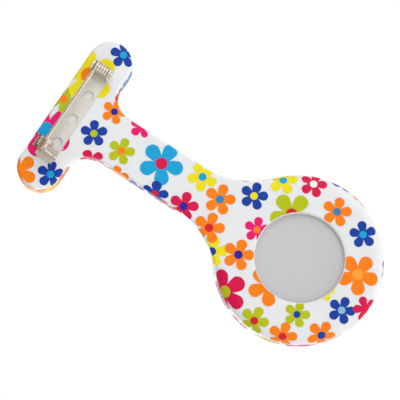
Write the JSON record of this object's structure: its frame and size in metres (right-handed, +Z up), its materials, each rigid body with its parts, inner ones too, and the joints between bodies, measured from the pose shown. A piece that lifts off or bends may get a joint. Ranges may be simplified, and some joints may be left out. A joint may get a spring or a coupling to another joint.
{
  "type": "fob watch",
  "caption": "Nurse's fob watch: a flower-printed silicone hanger with a bar pin on its T-shaped top and a quartz watch in its round pocket, shown from the back.",
  "frame": {"origin": "on the back face of the T-shaped top, at the middle of the bar pin", "axes": "+Z up along the stem towards the T-shaped top, +Y out of the back towards the garment, -Y out of the dial, +X to the right of someone facing the dial"},
  "size_m": [0.0426, 0.0176, 0.0925],
  "materials": {
    "silicone": "matte white silicone with an all-over printed flower pattern",
    "nickel_plate": "satin nickel plated steel",
    "spring_wire": "polished spring wire",
    "nickel_small": "bright nickel plate",
    "case_metal": "polished",
    "case_back_steel": "fine satin",
    "mineral_glass": "clear",
    "seal_rubber": "black nitrile",
    "dial_enamel": "white satin lacquer with printed numerals",
    "hand_black": "black lacquer",
    "hand_red": "red lacquer",
    "holder_plastic": "moulded",
    "movement_brass": "gilt",
    "wheel_resin": "moulded acetal",
    "magnet": "sintered magnet",
    "movement_steel": "satin",
    "soft_iron": "satin",
    "copper_wire": "enamelled copper winding",
    "board_laminate": "green solder mask",
    "chip_resin": "moulded epoxy",
    "can_tin": "tinned"
  },
  "bodies": {
    "hanger": {"silicone_body": "silicone", "pin_plate": "nickel_plate", "hinge_rivet": "nickel_small", "catch_housing": "nickel_plate", "watch_case": "case_metal", "bezel": "case_metal", "crystal": "mineral_glass", "crystal_gasket": "seal_rubber", "case_back": "case_back_steel", "case_back_gasket": "seal_rubber", "dial": "dial_enamel", "movement_ring": "holder_plastic", "main_plate": "movement_brass", "train_bridge": "movement_brass", "movement_screws": "movement_steel", "stator": "soft_iron", "coil_core": "soft_iron", "coil": "copper_wire", "circuit_board": "board_laminate", "ic_chip": "chip_resin", "quartz_crystal": "can_tin", "battery": "movement_steel", "battery_clamp": "movement_steel", "crown_gasket": "seal_rubber"},
    "needle": {"pin_needle": "spring_wire"},
    "lock": {"catch_lock": "nickel_small"},
    "seconds": {"fourth_wheel": "movement_brass", "second_hand": "hand_red"},
    "fifth": {"fifth_wheel": "wheel_resin"},
    "motor_rotor": {"rotor": "magnet"},
    "third": {"third_wheel": "movement_brass"},
    "minutes": {"centre_wheel": "movement_brass", "cannon_pinion": "movement_brass", "minute_hand": "hand_black"},
    "minute_idler": {"minute_wheel": "wheel_resin"},
    "hours": {"hour_wheel": "movement_brass", "hour_hand": "hand_black"},
    "clutch": {"sliding_pinion": "movement_steel"},
    "crown_stem": {"winding_stem": "movement_steel", "crown": "case_metal"},
    "lever": {"setting_lever": "movement_steel"}
  },
  "joints": [
    {"name": "needle_swing", "type": "hinge", "parent": "hanger", "child": "needle", "pos_m": [-0.0125, 0.0029, 0], "axis": [0, 0, 1], "range_deg": [0, 80]},
    {"name": "catch_turn", "type": "hinge", "parent": "hanger", "child": "lock", "pos_m": [0.0112, 0.0029, 0.00148], "axis": [1, 0, 0], "range_deg": [0, 90]},
    {"name": "seconds_turn", "type": "hinge", "parent": "hanger", "child": "seconds", "pos_m": [0, -0.0048, -0.0661], "axis": [0, 1, 0], "continuous": true},
    {"name": "fifth_turn", "type": "hinge", "parent": "hanger", "child": "fifth", "pos_m": [0.00175, -0.0046, -0.06307], "axis": [0, 1, 0], "continuous": true},
    {"name": "rotor_turn", "type": "hinge", "parent": "hanger", "child": "motor_rotor", "pos_m": [0.00344, -0.0054, -0.06245], "axis": [0, 1, 0], "continuous": true},
    {"name": "third_turn", "type": "hinge", "parent": "hanger", "child": "third", "pos_m": [-0.0026, -0.0052, -0.06391], "axis": [0, 1, 0], "continuous": true},
    {"name": "minutes_turn", "type": "hinge", "parent": "hanger", "child": "minutes", "pos_m": [0, -0.0056, -0.0661], "axis": [0, 1, 0], "continuous": true},
    {"name": "minute_idler_turn", "type": "hinge", "parent": "hanger", "child": "minute_idler", "pos_m": [-0.00226, -0.0065, -0.06692], "axis": [0, 1, 0], "continuous": true},
    {"name": "hours_turn", "type": "hinge", "parent": "hanger", "child": "hours", "pos_m": [0, -0.0068, -0.0661], "axis": [0, 1, 0], "continuous": true},
    {"name": "crown_turn", "type": "hinge", "parent": "hanger", "child": "clutch", "pos_m": [0.0063, -0.00475, -0.0661], "axis": [1, 0, 0], "continuous": true},
    {"name": "crown_pull", "type": "slide", "parent": "clutch", "child": "crown_stem", "axis": [1, 0, 0], "range_m": [0, 0.001]},
    {"name": "lever_turn", "type": "hinge", "parent": "hanger", "child": "lever", "pos_m": [0.00825, -0.00545, -0.0635], "axis": [0, -1, 0], "range_deg": [0, 22]}
  ],
  "couplings": [
    {"joint": "fifth_turn", "follows": "seconds_turn", "ratio": -6},
    {"joint": "rotor_turn", "follows": "seconds_turn", "ratio": 30},
    {"joint": "third_turn", "follows": "seconds_turn", "ratio": -0.13333},
    {"joint": "minutes_turn", "follows": "seconds_turn", "ratio": 0.016667},
    {"joint": "minute_idler_turn", "follows": "seconds_turn", "ratio": -0.0055556},
    {"joint": "hours_turn", "follows": "seconds_turn", "ratio": 0.0013889},
    {"joint": "lever_turn", "follows": "crown_pull", "rad_per_m": 379.98}
  ]
}
